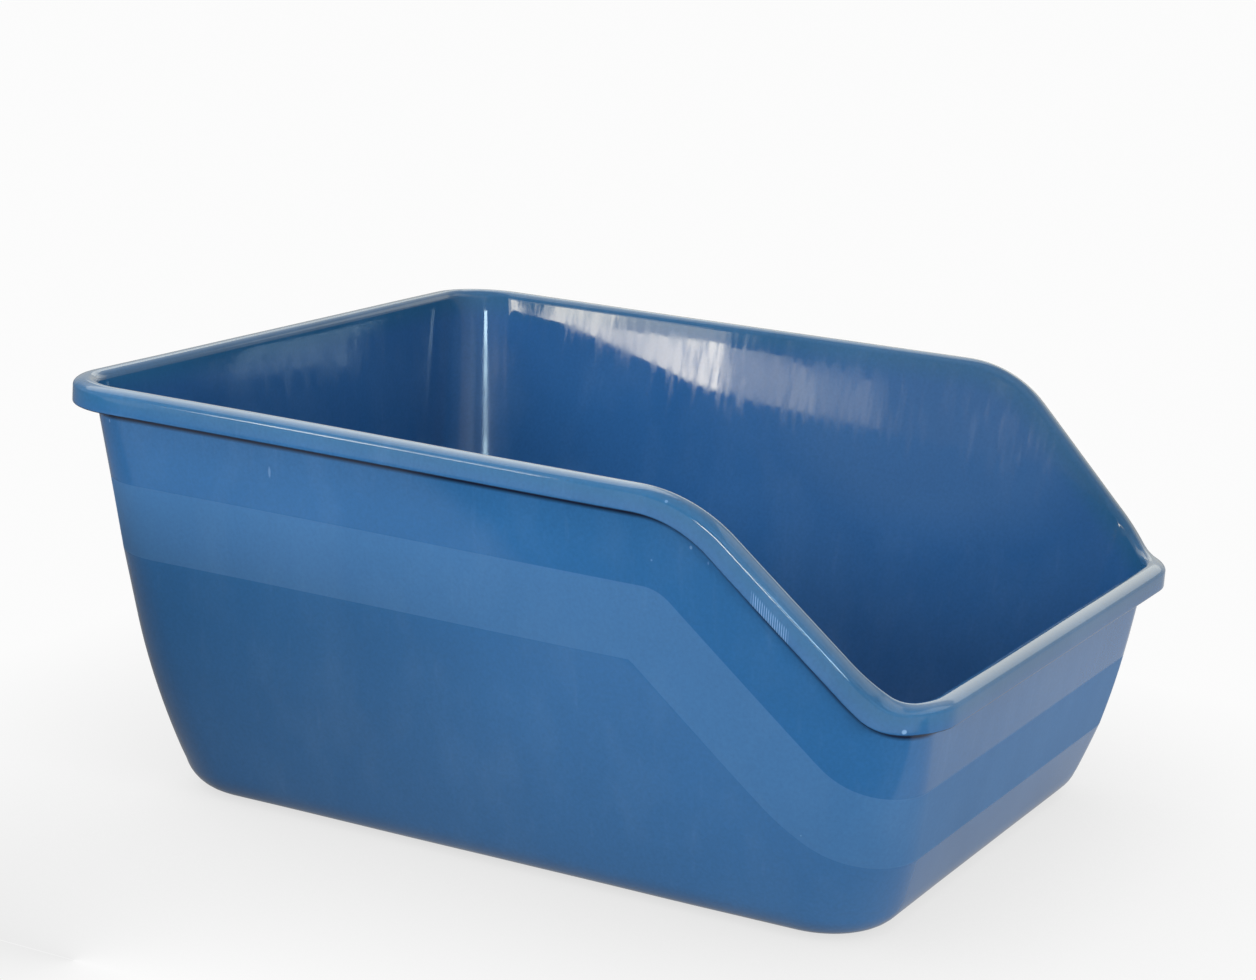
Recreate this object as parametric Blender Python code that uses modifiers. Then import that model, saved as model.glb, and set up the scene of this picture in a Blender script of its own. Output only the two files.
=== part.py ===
"""A high-sided litter pan with a low entry at the front, moulded in one piece.

X runs across the pan, +Y runs to its rear, the low entry faces -Y, and +Z is up. The origin is on
the ground under the middle of the pan. Lengths are in metres and angles in radians.

The pan is one sheet of plastic of even thickness. Its upper face is modelled as an open half
sheet: up the outside of the skirt, over the domed crown of the rim, round the throat, down the
inside of the wall, round the base fillet and across the floor. Mirror completes it and Solidify
gives it the thickness.
"""

import math

import bmesh
import bpy

# Overall size, over the skirt of the rim
WIDTH = 0.460
LENGTH = 0.500
HEIGHT = 0.230
ENTRY_HEIGHT = 0.137

WALL = 0.0022

# Rim section: the throat rounds over into a domed crown, a quarter ellipse in section, which drops
# to a plumb skirt that hangs clear of the wall
SKIRT_OVERHANG = 0.010
SKIRT_DEPTH = 0.0134
CROWN_DROP = 0.0043
THROAT_RADIUS = 0.0045

# Rim from the side: level at the rear, a rounded crest, a straight ramp, a valley at the entry
RAMP_ANGLE = math.radians(42.4)
CREST_Y = -0.1295
CREST_RADIUS = 0.075
VALLEY_RADIUS = 0.0155
SHARPEST_CREST = 0.0005

# A satin band runs round the wall, parallel to the rim. Its face is a little more upright.
BAND_TOP = 0.053
BAND_BOTTOM = 0.093
BAND_STEP = 0.0003

# Draft of each wall, as run over rise, and the lower part that curves in
SIDE_DRAFT = 0.156
REAR_DRAFT = 0.128
FRONT_DRAFT = 0.113
TURN_IN_HEIGHT = 0.100
TURN_IN_RATE = 1.0

# Corners in plan, at the rim and at the ground, and the outward bow of the long sides
TOP_CORNER_RADIUS = 0.032
FOOT_CORNER_RADIUS = 0.046
SIDE_BOW = 0.0058
BOW_SKEW = 2.2

BASE_FILLET = 0.0235
FILLET_START = math.radians(18.0)

CROWN_REACH = SKIRT_OVERHANG + WALL - THROAT_RADIUS

HALF_WIDTH = WIDTH / 2 - SKIRT_OVERHANG - SIDE_BOW
HALF_LENGTH = LENGTH / 2 - SKIRT_OVERHANG

# How finely the sheet is divided
CORNER_STEPS = 9
CROWN_STEPS = 6
THROAT_STEPS = 4
LOWER_WALL_STEPS = 6
FILLET_STEPS = 5
SETTLE_PASSES = 8

SMOOTH_ANGLE = math.radians(30)
MERGE_DISTANCE = 0.00005

COLOUR = (0.045, 0.155, 0.350, 1.0)
ROUGHNESS = 0.28


def steps(start, stop, count):
    """Evenly spaced values from start up to, and not including, stop."""
    return [start + (stop - start) * i / count for i in range(count)]


def outline_stations():
    """Places round half the outline, from the middle of the rear to the middle of the front."""
    side = steps(0.0, 0.71, 5) + steps(0.71, 0.89, 10) + steps(0.89, 1.0, 3)
    stations = [("rear", f) for f in steps(0.0, 1.0, 3)]
    stations += [("rear_corner", f) for f in steps(0.0, 1.0, CORNER_STEPS)]
    stations += [("side", f) for f in side]
    stations += [("front_corner", f) for f in steps(0.0, 1.0, CORNER_STEPS)]
    stations += [("front", f) for f in steps(0.0, 1.0, 3)]
    return stations + [("front", 1.0)]


def turn_in(z):
    """How far the lower wall has curved in at height z, beyond its straight draft."""
    return TURN_IN_RATE * max(0.0, TURN_IN_HEIGHT - z) ** 2


def plan_point(station, offset, z):
    """Point of the wall's outer face in plan at height z, moved outwards by offset."""
    part, fraction = station
    half_width = HALF_WIDTH - SIDE_DRAFT * (HEIGHT - z) - turn_in(z)
    rear = HALF_LENGTH - REAR_DRAFT * (HEIGHT - z) - turn_in(z)
    front = HALF_LENGTH - FRONT_DRAFT * (ENTRY_HEIGHT - z) - turn_in(z)
    radius = FOOT_CORNER_RADIUS + (TOP_CORNER_RADIUS - FOOT_CORNER_RADIUS) * z / HEIGHT
    turn = fraction * math.pi / 2
    reach = radius + offset
    if part == "rear":
        return fraction * (half_width - radius), rear + offset
    if part == "rear_corner":
        return (half_width - radius + reach * math.sin(turn),
                rear - radius + reach * math.cos(turn))
    if part == "side":
        bow = SIDE_BOW * math.sin(math.pi * fraction ** BOW_SKEW) * z / HEIGHT
        return (half_width + offset + bow,
                (rear - radius) * (1 - fraction) - (front - radius) * fraction)
    if part == "front_corner":
        return (half_width - radius + reach * math.cos(turn),
                -(front - radius) - reach * math.sin(turn))
    return (1 - fraction) * (half_width - radius), -(front + offset)


def rim_height(y, drop):
    """Height at y of the line that runs drop below the rim's top, measured square to the rim."""
    slope = math.tan(RAMP_ANGLE)
    lead = math.tan(RAMP_ANGLE / 2)
    top = HEIGHT - drop
    low = ENTRY_HEIGHT - drop
    crest = max(CREST_RADIUS - drop, SHARPEST_CREST)
    valley = VALLEY_RADIUS + drop
    crest_y = CREST_Y + drop * lead
    valley_y = crest_y - (HEIGHT - ENTRY_HEIGHT) / slope
    crest_rear = crest_y + crest * lead
    crest_front = crest_y - crest * lead * math.cos(RAMP_ANGLE)
    valley_rear = valley_y + valley * lead * math.cos(RAMP_ANGLE)
    valley_front = valley_y - valley * lead
    if y >= crest_rear:
        return top
    if y >= crest_front:
        return top - crest + math.sqrt(crest ** 2 - (crest_rear - y) ** 2)
    if y >= valley_rear:
        return top - (crest_y - y) * slope
    if y >= valley_front:
        return low + valley - math.sqrt(valley ** 2 - (y - valley_front) ** 2)
    return low


def rim_point(station, offset, drop, plumb=False):
    """Point at a drop below the rim's top, on a face with the wall's draft or on a plumb one.

    The draft ties a point's height to its place, so the two are settled together.
    """
    z = HEIGHT
    for _ in range(SETTLE_PASSES):
        x, y = plan_point(station, offset, z)
        z = rim_height(y, 0.0 if plumb else drop)
    return x, y, rim_height(y, drop)


def rim_rows():
    """Offset, drop and plumb flag of each row that follows the rim, from the skirt's edge down."""
    rows = [(SKIRT_OVERHANG, SKIRT_DEPTH, True)]
    for i in range(CROWN_STEPS + 1):
        turn = math.pi / 2 * (1 - i / CROWN_STEPS)
        rows.append((SKIRT_OVERHANG - CROWN_REACH * (1 - math.sin(turn)),
                     CROWN_DROP * (1 - math.cos(turn)), True))
    for i in range(1, THROAT_STEPS + 1):
        turn = math.pi / 2 * i / THROAT_STEPS
        rows.append((THROAT_RADIUS * (1 - math.sin(turn)) - WALL,
                     THROAT_RADIUS * (1 - math.cos(turn)), False))
    rows.append((-WALL, BAND_TOP, False))
    rows.append((-WALL + BAND_STEP, BAND_BOTTOM, False))
    return rows


def lower_wall_point(station, fraction):
    """Point of the wall between the band and the fillet, where the rows turn level."""
    bottom = BASE_FILLET - (BASE_FILLET - WALL) * math.sin(FILLET_START)
    top = rim_point(station, -WALL, BAND_BOTTOM)[2]
    z = top + (bottom - top) * fraction
    offset = -WALL + BAND_STEP * (1 - fraction)
    return *plan_point(station, offset, z), z


def fillet_point(station, fraction):
    """Point of the inside of the base fillet, from the wall to the floor."""
    turn = FILLET_START + (math.pi / 2 - FILLET_START) * fraction
    start_z = BASE_FILLET * (1 - math.sin(FILLET_START))
    inner = BASE_FILLET - WALL
    offset = inner * math.cos(turn) - BASE_FILLET * math.cos(FILLET_START)
    return *plan_point(station, offset, start_z), BASE_FILLET - inner * math.sin(turn)


def sheet_rows():
    """Every row of the sheet, as a function that gives the row's point at a station."""
    rows = [lambda s, row=row: rim_point(s, *row) for row in rim_rows()]
    rows += [lambda s, i=i: lower_wall_point(s, i / LOWER_WALL_STEPS)
             for i in range(1, LOWER_WALL_STEPS)]
    rows += [lambda s, i=i: fillet_point(s, i / FILLET_STEPS) for i in range(FILLET_STEPS + 1)]
    return rows


def half_sheet():
    """Mesh of the +X half of the pan's upper face, open at the mid plane."""
    stations = outline_stations()
    rows = sheet_rows()
    last_column = len(stations) - 1
    last_row = len(rows) - 1
    bm = bmesh.new()
    bmesh.ops.create_grid(bm, x_segments=last_column, y_segments=last_row, size=0.5)
    floor_edge = [None] * len(stations)
    for vert in bm.verts:
        column = round((vert.co.x + 0.5) * last_column)
        row = round((vert.co.y + 0.5) * last_row)
        vert.co = rows[row](stations[column])
        if row == last_row:
            floor_edge[column] = vert
    bm.faces.new(floor_edge)
    bmesh.ops.recalc_face_normals(bm, faces=bm.faces)
    floor = max(bm.faces, key=lambda face: len(face.verts))
    if floor.normal.z < 0:
        bmesh.ops.reverse_faces(bm, faces=bm.faces)
    mesh = bpy.data.meshes.new("litter_pan")
    bm.to_mesh(mesh)
    bm.free()
    return mesh


def plastic():
    """Glossy blue polypropylene."""
    material = bpy.data.materials.new("blue_plastic")
    material.use_nodes = True
    shader = material.node_tree.nodes["Principled BSDF"]
    shader.inputs["Base Color"].default_value = COLOUR
    shader.inputs["Roughness"].default_value = ROUGHNESS
    shader.inputs["Metallic"].default_value = 0.0
    return material


def build_pan(collection):
    """The pan, as one closed shell."""
    mesh = half_sheet()
    mesh.materials.append(plastic())
    pan = bpy.data.objects.new("litter_pan", mesh)
    collection.objects.link(pan)

    mirror = pan.modifiers.new("other_half", "MIRROR")
    mirror.use_axis = (True, False, False)
    mirror.use_clip = True
    mirror.merge_threshold = MERGE_DISTANCE

    shell = pan.modifiers.new("thickness", "SOLIDIFY")
    shell.thickness = WALL
    shell.offset = -1.0
    shell.use_even_offset = True
    shell.use_quality_normals = True

    mesh.shade_smooth()
    mesh.set_sharp_from_angle(angle=SMOOTH_ANGLE)
    return pan


def main():
    for obj in list(bpy.data.objects):
        bpy.data.objects.remove(obj, do_unlink=True)
    collection = bpy.data.collections.new("high_sided_litter_pan")
    bpy.context.scene.collection.children.link(collection)
    build_pan(collection)


main()
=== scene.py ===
"""The look of a high-sided litter pan: one glossy blue moulding on a plain pale floor.

The pan is rebuilt here as a fine sheet from the same driving dimensions as its CAD solid. Its
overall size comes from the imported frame. Lengths are in metres and angles in radians.
"""

import math

import bmesh
import bpy
from mathutils import Matrix, Vector


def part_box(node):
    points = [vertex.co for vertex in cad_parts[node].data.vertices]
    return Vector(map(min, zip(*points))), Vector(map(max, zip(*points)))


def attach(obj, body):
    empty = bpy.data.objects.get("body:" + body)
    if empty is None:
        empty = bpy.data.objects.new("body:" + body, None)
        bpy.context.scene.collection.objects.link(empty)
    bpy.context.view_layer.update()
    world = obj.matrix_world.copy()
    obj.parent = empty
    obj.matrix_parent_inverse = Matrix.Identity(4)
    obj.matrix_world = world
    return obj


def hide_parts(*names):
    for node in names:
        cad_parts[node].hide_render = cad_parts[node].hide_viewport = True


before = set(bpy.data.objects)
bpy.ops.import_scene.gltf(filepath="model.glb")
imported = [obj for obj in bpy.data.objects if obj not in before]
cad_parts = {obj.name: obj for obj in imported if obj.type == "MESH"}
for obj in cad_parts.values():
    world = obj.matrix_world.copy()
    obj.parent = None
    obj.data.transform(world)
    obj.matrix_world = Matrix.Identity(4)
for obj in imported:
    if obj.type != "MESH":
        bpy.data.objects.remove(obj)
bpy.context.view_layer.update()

NODE = "litter_pan"
BOX_LOW, BOX_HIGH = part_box(NODE)
WIDTH, LENGTH, HEIGHT = BOX_HIGH - BOX_LOW
ENTRY_HEIGHT = 0.137
WALL = 0.0022

# Rim section
SKIRT_OVERHANG = 0.010
SKIRT_DEPTH = 0.0134
CROWN_DROP = 0.0043
THROAT_RADIUS = 0.0045
EDGE_ROUNDING = 0.0009

# Rim from the side
RAMP_ANGLE = math.radians(42.4)
CREST_Y = -0.1295
CREST_RADIUS = 0.075
VALLEY_RADIUS = 0.0155
SHARPEST_CREST = 0.0005

# Satin band round the outside of the wall
BAND_TOP = 0.053
BAND_BOTTOM = 0.093
BAND_STEP = 0.0003
CREASE = 0.0004

# Draft of each wall, how much steeper its upper part is, and the lower part that curves in
SIDE_DRAFT = 0.156
REAR_DRAFT = 0.128
FRONT_DRAFT = 0.113
UPRIGHT = 0.011
TURN_IN_HEIGHT = 0.100
TURN_IN_RATE = 1.0

# Corners in plan, and the outward bow of the long sides
TOP_CORNER_RADIUS = 0.032
FOOT_CORNER_RADIUS = 0.046
SIDE_BOW = 0.0058
BOW_SKEW = 2.2

BASE_FILLET = 0.0235
FILLET_START = math.radians(18.0)

CROWN_REACH = SKIRT_OVERHANG + WALL - THROAT_RADIUS
HALF_WIDTH = WIDTH / 2 - SKIRT_OVERHANG - SIDE_BOW
HALF_LENGTH = LENGTH / 2 - SKIRT_OVERHANG

# How finely the sheet is divided. The side's stretches are from, to and number of steps.
SIDE_STEPS = [(0.0, 0.68, 26), (0.68, 0.90, 32), (0.90, 1.0, 8)]
END_STEPS = 14
CORNER_STEPS = 20
SKIRT_STEPS = 4
CROWN_STEPS = 16
THROAT_STEPS = 8
WALL_STEPS = 5
LOWER_WALL_STEPS = 18
FILLET_STEPS = 10
SETTLE_PASSES = 8
MERGE_DISTANCE = 0.00005
EDGE_SEGMENTS = 3
SHARP_ANGLE = math.radians(50)

# Long, shallow waves that a thin moulding shows in its reflections
WARP = 0.00035
WARP_SIZE = 0.09

FLOOR_SIZE = 60.0


# ---------------------------------------------------------------- shape

def steps(start, stop, count):
    """Evenly spaced values from start up to, and not including, stop."""
    return [start + (stop - start) * i / count for i in range(count)]


def outline_stations():
    """Places round half the outline, from the middle of the rear to the middle of the front."""
    stations = [("rear", f) for f in steps(0.0, 1.0, END_STEPS)]
    stations += [("rear_corner", f) for f in steps(0.0, 1.0, CORNER_STEPS)]
    stations += [("side", f) for stretch in SIDE_STEPS for f in steps(*stretch)]
    stations += [("front_corner", f) for f in steps(0.0, 1.0, CORNER_STEPS)]
    stations += [("front", f) for f in steps(0.0, 1.0, END_STEPS)]
    return stations + [("front", 1.0)]


def turn_in(z):
    """How far the lower wall has curved in at height z, beyond its straight draft."""
    return TURN_IN_RATE * max(0.0, TURN_IN_HEIGHT - z) ** 2


def plan_point(station, offset, z):
    """Point of the wall's outer face in plan at height z, moved outwards by offset."""
    part, fraction = station
    half_width = HALF_WIDTH - SIDE_DRAFT * (HEIGHT - z) - turn_in(z)
    rear = HALF_LENGTH - REAR_DRAFT * (HEIGHT - z) - turn_in(z)
    front = HALF_LENGTH - FRONT_DRAFT * (ENTRY_HEIGHT - z) - turn_in(z)
    radius = FOOT_CORNER_RADIUS + (TOP_CORNER_RADIUS - FOOT_CORNER_RADIUS) * z / HEIGHT
    turn = fraction * math.pi / 2
    reach = radius + offset
    if part == "rear":
        return fraction * (half_width - radius), rear + offset
    if part == "rear_corner":
        return (half_width - radius + reach * math.sin(turn),
                rear - radius + reach * math.cos(turn))
    if part == "side":
        bow = SIDE_BOW * math.sin(math.pi * fraction ** BOW_SKEW) * z / HEIGHT
        return (half_width + offset + bow,
                (rear - radius) * (1 - fraction) - (front - radius) * fraction)
    if part == "front_corner":
        return (half_width - radius + reach * math.cos(turn),
                -(front - radius) - reach * math.sin(turn))
    return (1 - fraction) * (half_width - radius), -(front + offset)


def rim_height(y, drop):
    """Height at y of the line that runs drop below the rim's top, measured square to the rim."""
    slope = math.tan(RAMP_ANGLE)
    lead = math.tan(RAMP_ANGLE / 2)
    top = HEIGHT - drop
    low = ENTRY_HEIGHT - drop
    crest = max(CREST_RADIUS - drop, SHARPEST_CREST)
    valley = VALLEY_RADIUS + drop
    crest_y = CREST_Y + drop * lead
    valley_y = crest_y - (HEIGHT - ENTRY_HEIGHT) / slope
    crest_rear = crest_y + crest * lead
    crest_front = crest_y - crest * lead * math.cos(RAMP_ANGLE)
    valley_rear = valley_y + valley * lead * math.cos(RAMP_ANGLE)
    valley_front = valley_y - valley * lead
    if y >= crest_rear:
        return top
    if y >= crest_front:
        return top - crest + math.sqrt(crest ** 2 - (crest_rear - y) ** 2)
    if y >= valley_rear:
        return top - (crest_y - y) * slope
    if y >= valley_front:
        return low + valley - math.sqrt(valley ** 2 - (y - valley_front) ** 2)
    return low


def rim_point(station, offset, drop, plumb=False):
    """Point at a drop below the rim's top, on a face with the wall's draft or on a plumb one."""
    if not plumb:
        offset += UPRIGHT * drop
    z = HEIGHT
    for _ in range(SETTLE_PASSES):
        x, y = plan_point(station, offset, z)
        z = rim_height(y, 0.0 if plumb else drop)
    return x, y, rim_height(y, drop)


def rim_rows():
    """Offset, drop and plumb flag of each row that follows the rim, from the skirt's edge down."""
    rows = [(SKIRT_OVERHANG, SKIRT_DEPTH + (CROWN_DROP - SKIRT_DEPTH) * f, True)
            for f in steps(0.0, 1.0, SKIRT_STEPS)]
    for i in range(CROWN_STEPS + 1):
        turn = math.pi / 2 * (1 - i / CROWN_STEPS)
        rows.append((SKIRT_OVERHANG - CROWN_REACH * (1 - math.sin(turn)),
                     CROWN_DROP * (1 - math.cos(turn)), True))
    for i in range(1, THROAT_STEPS + 1):
        turn = math.pi / 2 * i / THROAT_STEPS
        rows.append((THROAT_RADIUS * (1 - math.sin(turn)) - WALL,
                     THROAT_RADIUS * (1 - math.cos(turn)), False))
    rows += [(-WALL, d, False) for d in steps(THROAT_RADIUS, BAND_TOP - CREASE, WALL_STEPS)[1:]]
    rows += [(-WALL, BAND_TOP - CREASE, False), (-WALL, BAND_TOP + CREASE, False)]
    for f in steps(0.0, 1.0, WALL_STEPS)[1:]:
        rows.append((-WALL + BAND_STEP * f, BAND_TOP + (BAND_BOTTOM - BAND_TOP) * f, False))
    rows.append((-WALL + BAND_STEP, BAND_BOTTOM - CREASE, False))
    rows.append((-WALL + BAND_STEP, BAND_BOTTOM + CREASE, False))
    return rows


def lower_wall_point(station, fraction):
    """Point of the wall between the band and the fillet, where the rows turn level."""
    bottom = BASE_FILLET - (BASE_FILLET - WALL) * math.sin(FILLET_START)
    top = rim_point(station, -WALL, BAND_BOTTOM + CREASE)[2]
    z = top + (bottom - top) * fraction
    offset = -WALL + (BAND_STEP + UPRIGHT * BAND_BOTTOM) * (1 - fraction)
    return *plan_point(station, offset, z), z


def fillet_point(station, fraction):
    """Point of the inside of the base fillet, from the wall to the floor."""
    turn = FILLET_START + (math.pi / 2 - FILLET_START) * fraction
    start_z = BASE_FILLET * (1 - math.sin(FILLET_START))
    inner = BASE_FILLET - WALL
    offset = inner * math.cos(turn) - BASE_FILLET * math.cos(FILLET_START)
    return *plan_point(station, offset, start_z), BASE_FILLET - inner * math.sin(turn)


def sheet_rows():
    """Every row of the sheet, as a function that gives the row's point at a station."""
    rows = [lambda s, row=row: rim_point(s, *row) for row in rim_rows()]
    rows += [lambda s, i=i: lower_wall_point(s, i / LOWER_WALL_STEPS)
             for i in range(1, LOWER_WALL_STEPS)]
    rows += [lambda s, i=i: fillet_point(s, i / FILLET_STEPS) for i in range(FILLET_STEPS + 1)]
    return rows


def half_sheet():
    """Mesh of the +X half of the pan's upper face, with each point's drop below the rim."""
    stations = outline_stations()
    rows = sheet_rows()
    drops = [row[1] for row in rim_rows()]
    last_column = len(stations) - 1
    last_row = len(rows) - 1
    bm = bmesh.new()
    drop_layer = bm.verts.layers.float.new("drop")
    bmesh.ops.create_grid(bm, x_segments=last_column, y_segments=last_row, size=0.5)
    floor_edge = [None] * len(stations)
    for vert in bm.verts:
        column = round((vert.co.x + 0.5) * last_column)
        row = round((vert.co.y + 0.5) * last_row)
        vert.co = rows[row](stations[column])
        vert[drop_layer] = drops[row] if row < len(drops) else rim_height(vert.co.y, 0) - vert.co.z
        if row == last_row:
            floor_edge[column] = vert
    floor = bm.faces.new(floor_edge)
    bmesh.ops.recalc_face_normals(bm, faces=bm.faces)
    if floor.normal.z < 0:
        bmesh.ops.reverse_faces(bm, faces=bm.faces)
    mesh = bpy.data.meshes.new("pan_shell")
    bm.to_mesh(mesh)
    bm.free()
    return mesh


def warp_texture():
    """Soft noise that moves the moulding's faces very slightly."""
    texture = bpy.data.textures.new("warp", "CLOUDS")
    texture.noise_scale = WARP_SIZE
    texture.noise_depth = 1
    return texture


def build_pan():
    """The whole pan: half a sheet mirrored, warped, given its thickness and a rounded free edge."""
    mesh = half_sheet()
    mesh.materials.append(plastic("inside_plastic", banded=False))
    mesh.materials.append(plastic("outside_plastic", banded=True))
    mesh.shade_smooth()
    pan = bpy.data.objects.new("pan_shell", mesh)
    bpy.context.scene.collection.objects.link(pan)

    mirror = pan.modifiers.new("other_half", "MIRROR")
    mirror.use_axis = (True, False, False)
    mirror.use_clip = True
    mirror.merge_threshold = MERGE_DISTANCE

    warp = pan.modifiers.new("warp", "DISPLACE")
    warp.texture = warp_texture()
    warp.texture_coords = "LOCAL"
    warp.strength = WARP
    warp.mid_level = 0.5

    shell = pan.modifiers.new("thickness", "SOLIDIFY")
    shell.thickness = WALL
    shell.offset = -1.0
    shell.use_even_offset = True
    shell.use_quality_normals = True
    shell.material_offset = 1
    shell.material_offset_rim = 0

    edge = pan.modifiers.new("free_edge", "BEVEL")
    edge.width = EDGE_ROUNDING
    edge.segments = EDGE_SEGMENTS
    edge.limit_method = "ANGLE"
    edge.angle_limit = SHARP_ANGLE

    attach(pan, "root")
    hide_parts(NODE)
    return pan


# ---------------------------------------------------------------- material

INSIDE_BLUE = (0.0235, 0.096, 0.240, 1.0)
OUTSIDE_BLUE = (0.0195, 0.100, 0.242, 1.0)
RIM_BLUE = (0.0195, 0.097, 0.205, 1.0)
# The satin band's paler blue is partly painted sheen, standing in for the light its lower specular
# level gives up
BAND_SHEEN_BLUE = (0.038, 0.123, 0.264, 1.0)
# Pale blue of rubbed plastic, also used for painted highlights and a patch of painted light
WORN_AND_LIT_BLUE = (0.150, 0.270, 0.440, 1.0)
PLASTIC_IOR = 1.49

# Roughness of the polished faces, the satin band, the rim and a less polished low rear corner
GLOSS = 0.030
SMEARED = 0.050
SATIN = 0.46
RIM_GLOSS = 0.085
MATT = 0.22

# Specular level of the plastic, of the satin band and of what is in the skirt's shade
SPECULAR = 0.5
SATIN_SPECULAR = 0.30
SHADED_SPECULAR = 0.1

# The rim's own polish and tone end, and the inside's begin, at these drops below its top
RIM_GLOSS_END = 0.0030
INSIDE_GLOSS_START = 0.0045
RIM_TONE_END = 0.006
INSIDE_TONE_START = 0.018

# Noise patterns: scale, detail, stretch
SMEAR_PATTERN = (14.0, 3.0, (1.0, 1.0, 0.35))
WIPE_PATTERN = (1.0, 3.0, (230.0, 230.0, 22.0))
PATCH_PATTERN = (16.0, 4.0, (1.0, 1.0, 0.3))
CLOUD_PATTERN = (38.0, 5.0, (1.0, 1.0, 0.6))
STREAK_PATTERN = (1.0, 3.0, (210.0, 210.0, 14.0))
DRAG_PATTERN = (1.0, 2.0, (170.0, 170.0, 9.0))
SKIN_PATTERN = (420.0, 2.0)
BROAD_TONE_PATTERN = (9.0, 3.0)
FINE_TONE_PATTERN = (520.0, 2.0)

# How those patterns show: from and to in the noise, then the values there
SMEAR_RANGE = (0.45, 0.70, GLOSS, SMEARED)
WIPE_RANGE = (0.42, 0.72, 0.0, 0.110)
PATCH_RANGE = (0.52, 0.75, 0.0, 0.07)
CLOUD_RANGE = (0.50, 0.78, 0.0, 0.07)
STREAK_RANGE = (0.62, 0.80, 0.0, 0.05)
TONE_RANGE = (0.7, 1.3, 0.92, 1.08)
DRAG_DEPTH = 0.000012
SKIN_DEPTH = 0.000002

# The side walls are wiped more than the end walls: from and to in how much a face looks sideways,
# then how much of the wiping shows there
WIPE_ON_FACING = (0.4, 0.9, 0.15, 1.0)

# Painted shade under the skirt: on the faces that look down, and on the wall just below it
SHADE_BLUE = (0.003, 0.012, 0.036, 1.0)
SHADE_ON_FACING = (-0.25, -0.55)
SHADE_TOP = 0.0166
SHADE_BOTTOM = 0.0186
SHADE_LOWER_ON_RAMP = 0.0026
RAMP_BLEND = 0.03

# Pale specks, in the cells whose random value is past SPECK_CHOICE
SPECKS_PER_METRE = 38.0
SPECK_SIZE = 0.018
SPECK_CHOICE = (0.72, 0.73)
SPECK_STRENGTH = 0.8

# Pale marks: x, y, z, half width, half height, strength. The one low at the front corner is a nick
# painted pale as the glint on it. The last one is a broad haze, partly rubbed plastic and partly
# painted light that brightens the front of the far inside wall.
MARKS = [
    (-0.229, -0.119, 0.225, 0.0010, 0.0010, 0.7),
    (-0.213, -0.106, 0.191, 0.0008, 0.0008, 0.6),
    (-0.215, -0.127, 0.201, 0.0009, 0.0012, 0.7),
    (-0.213, -0.136, 0.195, 0.0007, 0.0016, 0.6),
    (-0.209, 0.216, 0.210, 0.0008, 0.0012, 0.6),
    (-0.210, 0.115, 0.199, 0.0009, 0.0045, 0.5),
    # A nick low at the front corner, painted pale as its glint
    (-0.196, -0.236, 0.126, 0.0016, 0.0014, 1.0),
    # Broad haze, partly rubbed and partly painted light on the front of the far inside wall
    (0.213, -0.085, 0.190, 0.130, 0.080, 0.14),
]
MARK_CORE = 0.6  # share of a mark's half size that has its full strength

# A row of fine upright marks on the skirt, painted pale as the highlight they catch, one at each
# crest of a wave along Y. TICK_LINE says from where on the crest a mark begins to show and where it
# is full.
TICK_PITCH = 0.0011
TICK_LINE = (0.2, 0.9)
TICKS_FROM_Y = -0.183
TICKS_TO_Y = -0.163
TICKS_END_BLUR = 0.002
TICKS_FROM_DROP = 0.0078
TICKS_DROP_BLUR = 0.001
TICKS_SIDE = (-0.2165, -0.2185)
TICK_STRENGTH = 0.85

# Where the inside of the rear corners is less polished
MATT_FROM_X = 0.172
MATT_FROM_Y = 0.172
MATT_BLUR = 0.030
MATT_TOP = 0.215
MATT_FADE = 0.050


class Nodes:
    """Short calls for building a material's node tree."""

    def __init__(self, tree):
        self.tree = tree

    def add(self, kind, inputs=(), **settings):
        node = self.tree.nodes.new(kind)
        for name, value in settings.items():
            setattr(node, name, value)
        for key, value in dict(inputs).items():
            self.put(value, node.inputs[key])
        return node

    def put(self, value, socket):
        if isinstance(value, bpy.types.NodeSocket):
            self.tree.links.new(value, socket)
        else:
            socket.default_value = value

    def math(self, operation, a, b=0.0):
        node = self.add("ShaderNodeMath", {0: a, 1: b}, operation=operation)
        return node.outputs[0]

    def product(self, first, *others):
        for other in others:
            first = self.math("MULTIPLY", first, other)
        return first

    def vector(self, operation, a, b=(0.0, 0.0, 0.0)):
        return self.add("ShaderNodeVectorMath", {0: a, 1: b}, operation=operation).outputs

    def place(self):
        return self.add("ShaderNodeTexCoord").outputs["Object"]

    def parts(self, vector):
        return self.add("ShaderNodeSeparateXYZ", {0: vector}).outputs

    def noise(self, scale, detail=2.0, stretch=(1.0, 1.0, 1.0)):
        mapping = self.add("ShaderNodeMapping", {"Vector": self.place(), "Scale": stretch})
        node = self.add("ShaderNodeTexNoise",
                        {"Vector": mapping.outputs[0], "Scale": scale, "Detail": detail})
        return node.outputs[0]

    def mix(self, factor, first, second):
        return self.add("ShaderNodeMix", {0: factor, 2: first, 3: second}).outputs[0]

    def blend(self, factor, first, second):
        node = self.add("ShaderNodeMix", {0: factor, 6: first, 7: second}, data_type="RGBA")
        return node.outputs[2]

    def remap(self, value, low, high, to_low=0.0, to_high=1.0):
        node = self.add("ShaderNodeMapRange",
                        {0: value, 1: low, 2: high, 3: to_low, 4: to_high})
        return node.outputs[0]


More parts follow.
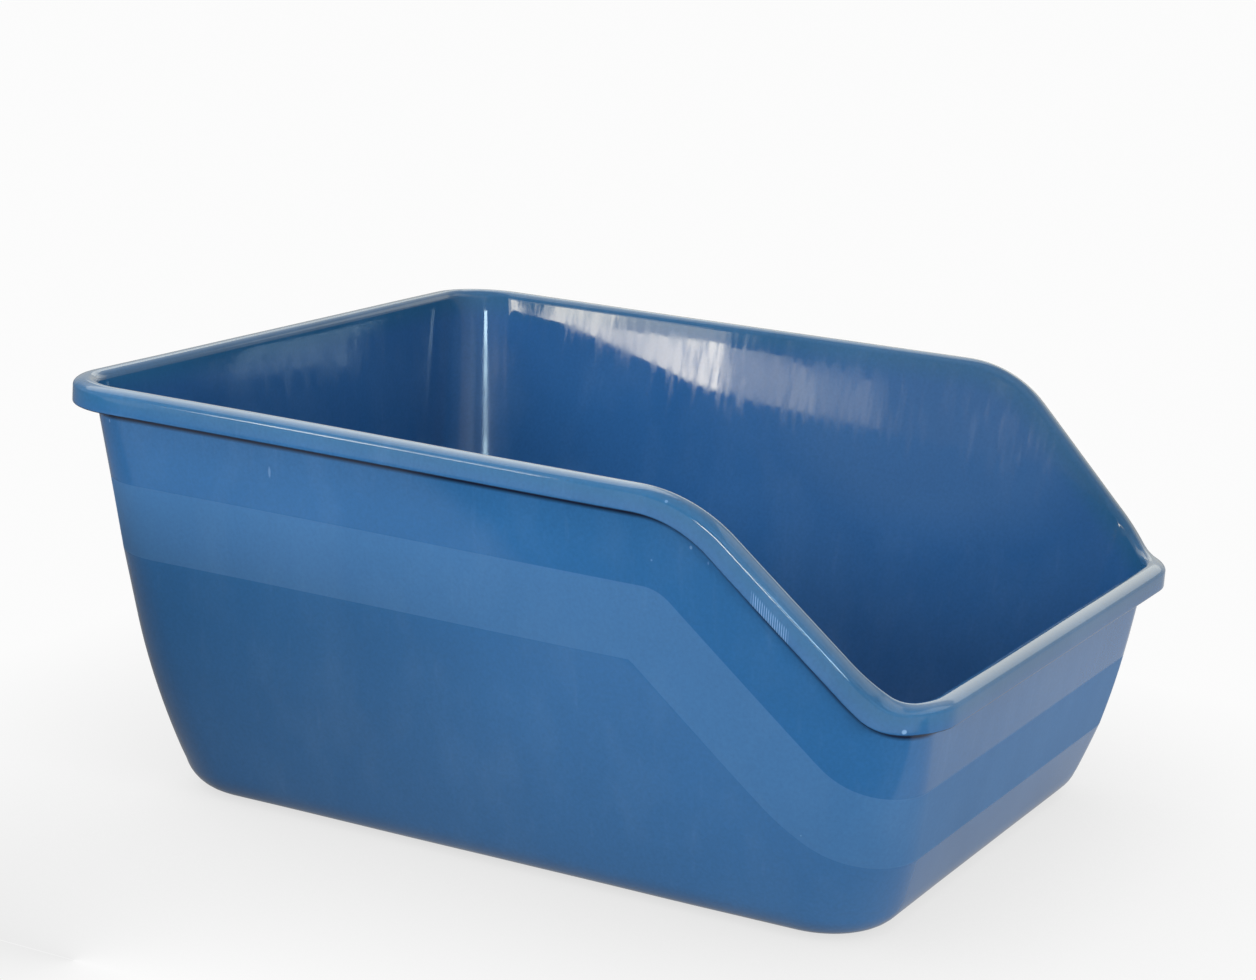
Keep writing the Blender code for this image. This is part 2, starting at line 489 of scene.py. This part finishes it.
def plastic(name, banded):
    """Glossy blue polypropylene, for the wall's outside with its satin band or for the rest."""
    material = bpy.data.materials.new(name)
    material.use_nodes = True
    n = Nodes(material.node_tree)
    shader = material.node_tree.nodes["Principled BSDF"]
    drop = n.add("ShaderNodeAttribute", attribute_name="drop").outputs["Fac"]
    roughness = n.remap(n.noise(*SMEAR_PATTERN), *SMEAR_RANGE)
    if banded:
        below = n.remap(drop, BAND_TOP - CREASE, BAND_TOP + CREASE)
        above = n.remap(drop, BAND_BOTTOM - CREASE, BAND_BOTTOM + CREASE, 1.0, 0.0)
        band = n.product(below, above)
        roughness = n.mix(band, roughness, SATIN)
        specular = n.remap(band, 0.0, 1.0, SPECULAR, SATIN_SPECULAR)
        # Paler band colour, partly painted sheen
        colour = n.blend(band, OUTSIDE_BLUE, BAND_SHEEN_BLUE)
        # Painted shade on the wall just below the skirt
        shaded = under_skirt(n, drop)
    else:
        facing = n.parts(n.add("ShaderNodeNewGeometry").outputs["Normal"])
        wiped = n.product(n.remap(n.noise(*WIPE_PATTERN), *WIPE_RANGE),
                          n.remap(n.math("ABSOLUTE", facing["X"]), *WIPE_ON_FACING))
        roughness = n.math("ADD", roughness, wiped)
        inside_gloss = n.remap(drop, RIM_GLOSS_END, INSIDE_GLOSS_START)
        roughness = n.mix(inside_gloss, RIM_GLOSS, roughness)
        roughness = n.mix(matt_corner(n), roughness, MATT)
        colour = n.blend(n.remap(drop, RIM_TONE_END, INSIDE_TONE_START), RIM_BLUE, INSIDE_BLUE)
        # Painted shade on the faces that look down, the skirt's lower edge
        shaded = n.remap(facing["Z"], *SHADE_ON_FACING)
        specular = n.remap(shaded, 0.0, 1.0, SPECULAR, SHADED_SPECULAR)

    # Pale rubbing and specks, with painted highlights and a patch of painted light among them
    colour = n.blend(scuffs_and_glints(n, drop), colour, WORN_AND_LIT_BLUE)
    noises = n.math("ADD", n.noise(*BROAD_TONE_PATTERN), n.noise(*FINE_TONE_PATTERN))
    tone = n.remap(noises, *TONE_RANGE)
    colour = n.add("ShaderNodeHueSaturation", {"Value": tone, "Color": colour}).outputs[0]
    # The painted shade goes over every other colour
    n.put(n.blend(shaded, colour, SHADE_BLUE), shader.inputs["Base Color"])
    n.put(roughness, shader.inputs["Roughness"])
    n.put(specular, shader.inputs["Specular IOR Level"])
    n.put(PLASTIC_IOR, shader.inputs["IOR"])

    drag = n.add("ShaderNodeBump", {"Strength": 1.0, "Distance": DRAG_DEPTH,
                                    "Height": n.noise(*DRAG_PATTERN)})
    skin = n.add("ShaderNodeBump", {"Strength": 1.0, "Distance": SKIN_DEPTH,
                                    "Height": n.noise(*SKIN_PATTERN), "Normal": drag.outputs[0]})
    n.put(skin.outputs[0], shader.inputs["Normal"])
    return material


def under_skirt(n, drop):
    """Shade on the wall just below the skirt, a little lower where the rim slopes."""
    along = n.parts(n.place())["Y"]
    lower = n.remap(along, CREST_Y + RAMP_BLEND, CREST_Y - RAMP_BLEND, 0.0, SHADE_LOWER_ON_RAMP)
    return n.remap(n.math("SUBTRACT", drop, lower), SHADE_TOP, SHADE_BOTTOM, 1.0, 0.0)


def scuffs_and_glints(n, drop):
    """Faint rubbed patches and streaks, pale specks, single marks and a row of upright marks; the
    row and the front corner's mark are painted highlights, and the broad haze is partly painted
    light.
    """
    place = n.place()
    patch = n.remap(n.noise(*PATCH_PATTERN), *PATCH_RANGE)
    cloud = n.remap(n.noise(*CLOUD_PATTERN), *CLOUD_RANGE)
    streak = n.remap(n.noise(*STREAK_PATTERN), *STREAK_RANGE)
    worn_and_lit = n.math("ADD", n.math("ADD", patch, cloud), streak)
    worn_and_lit = n.math("MAXIMUM", worn_and_lit, specks(n, place))
    for mark in MARKS:
        worn_and_lit = n.math("MAXIMUM", worn_and_lit, pale_mark(n, place, *mark))
    return n.math("MAXIMUM", worn_and_lit, ticks(n, place, drop))


def specks(n, place):
    """Scattered pale dots, one in some of the cells of a cell pattern."""
    cells = n.add("ShaderNodeTexVoronoi", {"Vector": place, "Scale": SPECKS_PER_METRE})
    dot = n.remap(cells.outputs["Distance"], SPECK_SIZE, SPECK_SIZE * 0.5)
    chosen = n.remap(cells.outputs["Color"], *SPECK_CHOICE)
    return n.product(dot, chosen, SPECK_STRENGTH)


def pale_mark(n, place, x, y, z, width, height, strength):
    """A soft-edged egg of pale colour round one point."""
    offset = n.vector("SUBTRACT", place, (x, y, z))[0]
    scaled = n.vector("MULTIPLY", offset, (1 / width, 1 / width, 1 / height))[0]
    away = n.vector("LENGTH", scaled)["Value"]
    return n.remap(away, 1.0, MARK_CORE, 0.0, strength)


def ticks(n, place, drop):
    """A short row of fine upright marks on the near side of the skirt's slope, painted pale as a
    highlight.
    """
    parts = n.parts(place)
    wave = n.math("SINE", n.product(parts["Y"], 2 * math.pi / TICK_PITCH))
    line = n.remap(wave, *TICK_LINE)
    start = n.remap(parts["Y"], TICKS_TO_Y, TICKS_TO_Y - TICKS_END_BLUR)
    end = n.remap(parts["Y"], TICKS_FROM_Y, TICKS_FROM_Y + TICKS_END_BLUR)
    low = n.remap(drop, TICKS_FROM_DROP, TICKS_FROM_DROP + TICKS_DROP_BLUR)
    side = n.remap(parts["X"], *TICKS_SIDE)
    return n.product(line, start, end, low, side, TICK_STRENGTH)


def matt_corner(n):
    """A less polished patch low in the two rear inside corners."""
    parts = n.parts(n.place())
    sides = n.remap(n.math("ABSOLUTE", parts["X"]), MATT_FROM_X, MATT_FROM_X + MATT_BLUR)
    back = n.remap(parts["Y"], MATT_FROM_Y, MATT_FROM_Y + MATT_BLUR)
    low = n.remap(parts["Z"], MATT_TOP, MATT_TOP - MATT_FADE)
    return n.product(sides, back, low)


# ---------------------------------------------------------------- stage

# Colours of light
NEUTRAL = (1.0, 1.0, 1.0)
WORKING = (0.97, 1.02, 1.08)
WARM = (1.0, 0.90, 0.70)
CREAM = (1.0, 0.99, 0.86)
COOL = (0.58, 0.80, 0.88)

# Soft areas of the room, angles in degrees: azimuth, elevation, half angle of the core, half angle
# of the edge, radiance
ROOM_GLOWS = [
    (0, 90, 10, 60, 0.40),  # ceiling
    (-45, 20, 5, 45, 0.12),  # front left
    (10, 25, 5, 50, 0.14),  # front
    (80, 25, 5, 50, 0.52),  # right
    (120, 25, 5, 45, 0.50),  # back
    (140, 48, 5, 30, 0.75),  # back high
    (-160, 25, 5, 45, 0.42),  # back left
]
ROOM_BASE = 0.28
BACKDROP = 1.0
ROOM_TINT = (0.93, 0.98, 1.06)
REFLECTED_TINT = (1.02, 1.0, 0.88)

# Cards that show in the plastic and light nothing: name, azimuth, elevation, distance, width,
# height, radiance
CARDS = [
    ("card_back", 152.0, 52.0, 2.2, 2.6, 1.5, 1.6),
    ("card_back_low", 125.0, 26.0, 2.2, 1.0, 0.6, 1.0),
    ("card_front", 28.0, 43.0, 2.2, 2.2, 0.9, 1.0),
    ("card_right", 88.0, 22.0, 2.2, 1.6, 0.6, 0.9),
    ("card_left", -34.0, 34.0, 2.2, 1.5, 0.7, 0.6),
]

# Bright shapes to the left that show in the plastic and light nothing: name, place along X, from
# and to along Y, from and to in height, radiance
WINDOWS = [
    ("window_tall", -1.7, 1.02, 1.17, 0.30, 0.75, 14.0),
    ("window_high", -1.7, 0.90, 1.25, 0.75, 1.30, 3.0),
    ("window_front", -1.7, -0.72, -0.10, 0.21, 0.43, 26.0),
    ("window_dull", -0.6, 0.273, 0.374, 0.270, 0.311, 3.8),
    ("window_faint", -0.6, 0.220, 0.273, 0.274, 0.316, 2.0),
]

# A window whose upper part is behind a curtain with a slanting, ragged hem
CURTAIN_X = -1.7
CURTAIN_FROM = 0.80
CURTAIN_TO = 1.02
CURTAIN_FOOT = 0.30
CURTAIN_HEM = 0.475
CURTAIN_SLANT = -0.22
CURTAIN_TOP = 0.75
CURTAIN_STRIPS = 11
CURTAIN_RAG = 0.018
CURTAIN_WAVE = 2.4
GLASS_RADIANCE = 18.0
GLASS_FADE = 0.8
CURTAIN_RADIANCE = 4.6

# Lamps that the plastic reflects: name, azimuth, elevation, distance, width, height, radiance
LAMPS = [
    ("lamp", -52.0, 17.2, 1.92, 0.260, 0.230, 24.0),
    ("doorway", -18.5, 13.0, 1.9, 0.50, 0.30, 0.6),
]

# Soft lights that light the plastic but don't show in it
WORKING_LIGHTS = [
    ("working_light", -112.0, 20.0, 1.3, 0.65, 0.16, 23.0),
    ("side_fill", -65.0, 14.0, 2.4, 1.2, 0.5, 9.4),
    ("front_fill", -5.0, 8.0, 2.4, 1.2, 0.5, 15.0),
    ("top_fill", 30.0, 75.0, 2.4, 1.2, 1.2, 0.6),
    ("over_left", -118.0, 46.0, 2.4, 1.2, 0.5, 5.0),
]

# Flags: one keeps the working lights off the lower rear of the left side, the other stands above
# the front rim and keeps the front light off the inside of the rear wall
FLAG_X = -0.40
FLAG_FROM_Y = 0.09
FLAG_TO_Y = 0.60
FLAG_HEIGHT = 0.24
FRONT_FLAG_Y = -0.31
FRONT_FLAG_REACH = 0.24
FRONT_FLAG_FOOT = 0.15
FRONT_FLAG_TOP = 0.60

# Floor as the plastic sees it. A slanting line parts the near floor from a dim strip, and the far
# floor beyond it is bright. In front of the pan the floor is bright too.
FLOOR_NEAR = 0.65
FLOOR_STRIP = 0.15
FLOOR_FAR = 1.0
FLOOR_AHEAD = 0.62
LINE_NORMAL = (0.855, 0.518, 0.0)
LINE_AT = -0.318
LINE_BLUR = 0.008
FAR_AT = -0.52
FAR_BLUR = 0.03
AHEAD_X = -0.11
AHEAD_Y = -0.10
AHEAD_BLUR = 0.02

# The near floor's glow dims towards the rear, beside the pan and beyond the split, as a painted
# shadow: from and to along Y, then how bright it is there
REAR_FADE = (0.05, 0.30, 1.0, 0.42)
REAR_FADE_BEYOND = (0.50, 0.90, 1.0, 0.35)
REAR_SPLIT_X = -0.43
REAR_SPLIT_BLUR = 0.03

# Floor as the camera sees it, and the painted shade near the pan in both
FLOOR_WHITE = 0.97
FLOOR_GAP = 0.0002
CONTACT_REACH = 0.22
CONTACT_SHADE = 0.72
REFLECTED_CONTACT = 0.50
CONTACT_SAMPLES = 8


def build_floor():
    """A plain pale floor that glows, with a soft painted shade where the pan stands. The plastic
    sees other tones.
    """
    bm = bmesh.new()
    bmesh.ops.create_grid(bm, x_segments=1, y_segments=1, size=FLOOR_SIZE / 2)
    mesh = bpy.data.meshes.new("floor")
    bm.to_mesh(mesh)
    bm.free()
    material = bpy.data.materials.new("floor")
    material.use_nodes = True
    tree = material.node_tree
    tree.nodes.remove(tree.nodes["Principled BSDF"])
    n = Nodes(tree)
    place = n.place()
    across, along, _ = n.parts(place)
    slant = n.vector("DOT_PRODUCT", place, LINE_NORMAL)["Value"]
    inside = n.remap(slant, LINE_AT - LINE_BLUR, LINE_AT + LINE_BLUR)
    far = n.remap(slant, FAR_AT + FAR_BLUR, FAR_AT - FAR_BLUR)
    ahead = n.product(n.remap(across, AHEAD_X - AHEAD_BLUR, AHEAD_X + AHEAD_BLUR),
                      n.remap(along, AHEAD_Y + AHEAD_BLUR, AHEAD_Y - AHEAD_BLUR))
    close = n.remap(across, REAR_SPLIT_X - REAR_SPLIT_BLUR, REAR_SPLIT_X + REAR_SPLIT_BLUR)
    rear = n.mix(close, n.remap(along, *REAR_FADE_BEYOND), n.remap(along, *REAR_FADE))
    lit = n.mix(inside, FLOOR_STRIP, n.product(rear, FLOOR_NEAR))
    lit = n.mix(far, lit, FLOOR_FAR)
    lit = n.mix(ahead, lit, FLOOR_AHEAD)
    # Painted shade near the pan, from how open the floor is round each point
    near = n.add("ShaderNodeAmbientOcclusion", {"Distance": CONTACT_REACH}, samples=CONTACT_SAMPLES)
    near = near.outputs["AO"]
    lit = n.product(lit, n.remap(near, 0.0, 1.0, REFLECTED_CONTACT, 1.0))
    white = n.product(n.remap(near, 0.0, 1.0, CONTACT_SHADE, 1.0), FLOOR_WHITE)
    seen = n.add("ShaderNodeLightPath").outputs["Is Camera Ray"]
    glow = n.add("ShaderNodeEmission", {"Strength": n.mix(seen, lit, white)})
    n.put(glow.outputs[0], tree.nodes["Material Output"].inputs["Surface"])
    mesh.materials.append(material)
    floor = bpy.data.objects.new("floor", mesh)
    floor.location.z = -FLOOR_GAP
    bpy.context.scene.collection.objects.link(floor)


def build_world():
    """Soft room light from a few broad glows; the camera itself sees a plain white backdrop."""
    world = bpy.data.worlds.new("room")
    world.use_nodes = True
    bpy.context.scene.world = world
    n = Nodes(world.node_tree)
    ray = n.add("ShaderNodeTexCoord").outputs["Generated"]
    total = ROOM_BASE
    for azimuth, elevation, core, edge, radiance in ROOM_GLOWS:
        centre = direction(math.radians(azimuth), math.radians(elevation))
        fade = n.add("ShaderNodeMapRange",
                     {0: n.vector("DOT_PRODUCT", ray, centre)["Value"],
                      1: math.cos(math.radians(edge)), 2: math.cos(math.radians(core)),
                      3: 0.0, 4: radiance},
                     interpolation_type="SMOOTHSTEP").outputs[0]
        total = n.math("ADD", total, fade)
    path = n.add("ShaderNodeLightPath").outputs
    tint = n.blend(path["Is Glossy Ray"], (*ROOM_TINT, 1), (*REFLECTED_TINT, 1))
    colour = n.blend(path["Is Camera Ray"], tint, (*NEUTRAL, 1))
    background = world.node_tree.nodes["Background"]
    n.put(colour, background.inputs["Color"])
    n.put(n.mix(path["Is Camera Ray"], total, BACKDROP), background.inputs["Strength"])


def direction(azimuth, elevation):
    """Unit vector from the pan; azimuth 0 is the front, -Y, and 90 degrees is +X."""
    return Vector((math.sin(azimuth) * math.cos(elevation),
                   -math.cos(azimuth) * math.cos(elevation),
                   math.sin(elevation)))


def light_panel(name, place, facing, width, height, radiance, colour, reflected=True, lights=True):
    """A rectangular area light that shines against its facing vector. Radiance sets its power."""
    light = bpy.data.lights.new(name, "AREA")
    light.shape = "RECTANGLE"
    light.size = width
    light.size_y = height
    light.energy = radiance * math.pi * width * height
    light.color = colour
    panel = bpy.data.objects.new(name, light)
    panel.location = place
    panel.rotation_mode = "QUATERNION"
    panel.rotation_quaternion = facing.to_track_quat("Z", "Y")
    panel.visible_camera = False
    panel.visible_glossy = reflected
    panel.visible_diffuse = lights
    bpy.context.scene.collection.objects.link(panel)


def soft_panel(panel, colour, **seen_by):
    """A panel that faces the pan from a direction, given as one of the lists above gives it."""
    name, azimuth, elevation, distance, width, height, radiance = panel
    away = direction(math.radians(azimuth), math.radians(elevation))
    light_panel(name, Vector((0, 0, HEIGHT / 2)) + away * distance, away,
                width, height, radiance, colour, **seen_by)


def window(name, x, y_from, y_to, z_from, z_to, radiance):
    """A bright upright rectangle to the left of the pan."""
    middle = Vector((x, (y_from + y_to) / 2, (z_from + z_to) / 2))
    light_panel(name, middle, Vector((-1, 0, 0)), y_to - y_from, z_to - z_from,
                radiance, WARM, lights=False)


def curtained_window():
    """A window in upright strips, each bright below the curtain's hem and dull above it."""
    width = (CURTAIN_TO - CURTAIN_FROM) / CURTAIN_STRIPS
    for i in range(CURTAIN_STRIPS):
        start = CURTAIN_FROM + width * i
        hem = CURTAIN_HEM + CURTAIN_SLANT * width * i + CURTAIN_RAG * math.sin(CURTAIN_WAVE * i)
        glass = GLASS_RADIANCE - GLASS_FADE * i
        window(f"glass_{i}", CURTAIN_X, start, start + width, CURTAIN_FOOT, hem, glass)
        window(f"curtain_{i}", CURTAIN_X, start, start + width, hem, CURTAIN_TOP, CURTAIN_RADIANCE)


def build_flag(name, place, rotation, size):
    """An upright card that only casts a shadow."""
    bm = bmesh.new()
    bmesh.ops.create_grid(bm, x_segments=1, y_segments=1, size=0.5)
    mesh = bpy.data.meshes.new(name)
    bm.to_mesh(mesh)
    bm.free()
    flag = bpy.data.objects.new(name, mesh)
    flag.location = place
    flag.rotation_euler = rotation
    flag.scale = (*size, 1)
    flag.visible_camera = False
    flag.visible_diffuse = False
    flag.visible_glossy = False
    bpy.context.scene.collection.objects.link(flag)


def build_flags():
    """One flag low at the left towards the back, and one above the front rim."""
    side_place = (FLAG_X, (FLAG_FROM_Y + FLAG_TO_Y) / 2, FLAG_HEIGHT / 2)
    side_size = (FLAG_HEIGHT, FLAG_TO_Y - FLAG_FROM_Y)
    build_flag("flag", side_place, (0, math.pi / 2, 0), side_size)
    front_place = (0, FRONT_FLAG_Y, (FRONT_FLAG_FOOT + FRONT_FLAG_TOP) / 2)
    front_size = (2 * FRONT_FLAG_REACH, FRONT_FLAG_TOP - FRONT_FLAG_FOOT)
    build_flag("front_flag", front_place, (math.pi / 2, 0, 0), front_size)


# ---------------------------------------------------------------- camera

VIEW_AZIMUTH = math.radians(-63.93)
VIEW_ELEVATION = math.radians(12.70)
VIEW_ROLL = math.radians(3.85)
VIEW_DISTANCE = 1.743
VIEW_AIM = Vector((0.0051, 0.0190, 0.1726))
LENS = 89.04
SENSOR_WIDTH = 36.0
SHIFT_X = 0.00402
SHIFT_Y = -0.00764


def build_camera():
    """A long lens from the front left, a little above the rim and slightly rolled."""
    data = bpy.data.cameras.new("camera")
    data.sensor_width = SENSOR_WIDTH
    data.lens = LENS
    data.shift_x = SHIFT_X
    data.shift_y = SHIFT_Y
    camera = bpy.data.objects.new("camera", data)
    back = direction(VIEW_AZIMUTH, VIEW_ELEVATION)
    level = back.to_track_quat("Z", "Y").to_matrix().to_4x4()
    tilt = Matrix.Rotation(VIEW_ROLL, 4, "Z")
    camera.matrix_world = Matrix.Translation(VIEW_AIM + back * VIEW_DISTANCE) @ level @ tilt
    bpy.context.scene.collection.objects.link(camera)
    bpy.context.scene.camera = camera


build_pan()
build_floor()
build_world()
build_flags()
curtained_window()
for shape in WINDOWS:
    window(*shape)
for lamp in LAMPS:
    soft_panel(lamp, COOL)
for card in CARDS:
    soft_panel(card, CREAM, lights=False)
for panel in WORKING_LIGHTS:
    soft_panel(panel, WORKING, reflected=False)
build_camera()
bpy.context.scene.view_settings.view_transform = "Standard"
